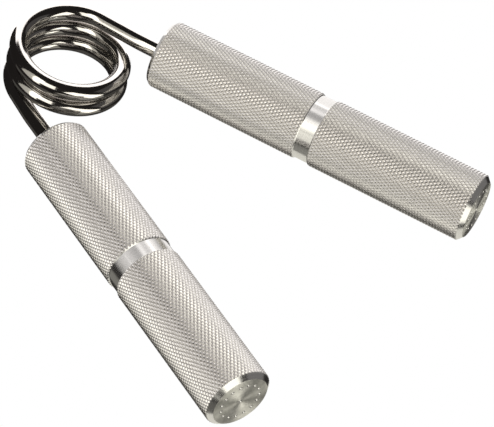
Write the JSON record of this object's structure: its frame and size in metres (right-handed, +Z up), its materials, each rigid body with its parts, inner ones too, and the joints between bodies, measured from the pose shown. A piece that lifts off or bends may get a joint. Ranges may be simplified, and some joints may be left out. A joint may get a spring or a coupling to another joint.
{
  "type": "hand grip strengthener",
  "caption": "Hand grip strengthener: a coiled torsion spring of thick round wire joins two knurled metal handles that are squeezed together.",
  "frame": {"origin": "the middle of the coil, on the coil's own axis, which is the axis that the handles turn about", "axes": "+Z up, as the part lies on a table on the whole left handle and the free end of the right one; +X midway between the two handles, towards their free ends; the coil's axis leans 12.2 degrees from +Z"},
  "size_m": [0.1482, 0.1226, 0.0298],
  "materials": {
    "spring_steel": "dark nickel plating, polished",
    "handle_aluminium": "satin, finely knurled, with turned and polished band and ends"
  },
  "bodies": {
    "left_side": {"left_handle": "handle_aluminium", "torsion_spring": "spring_steel"},
    "right_side": {"right_handle": "handle_aluminium"}
  },
  "joints": [
    {"name": "squeeze", "type": "hinge", "parent": "left_side", "child": "right_side", "pos_m": [0, 0, 0], "axis": [-0.0369, -0.2081, -0.9774], "range_deg": [0, 40.4], "stiffness_Nm_per_rad": 33, "deforming": ["torsion_spring"]}
  ]
}
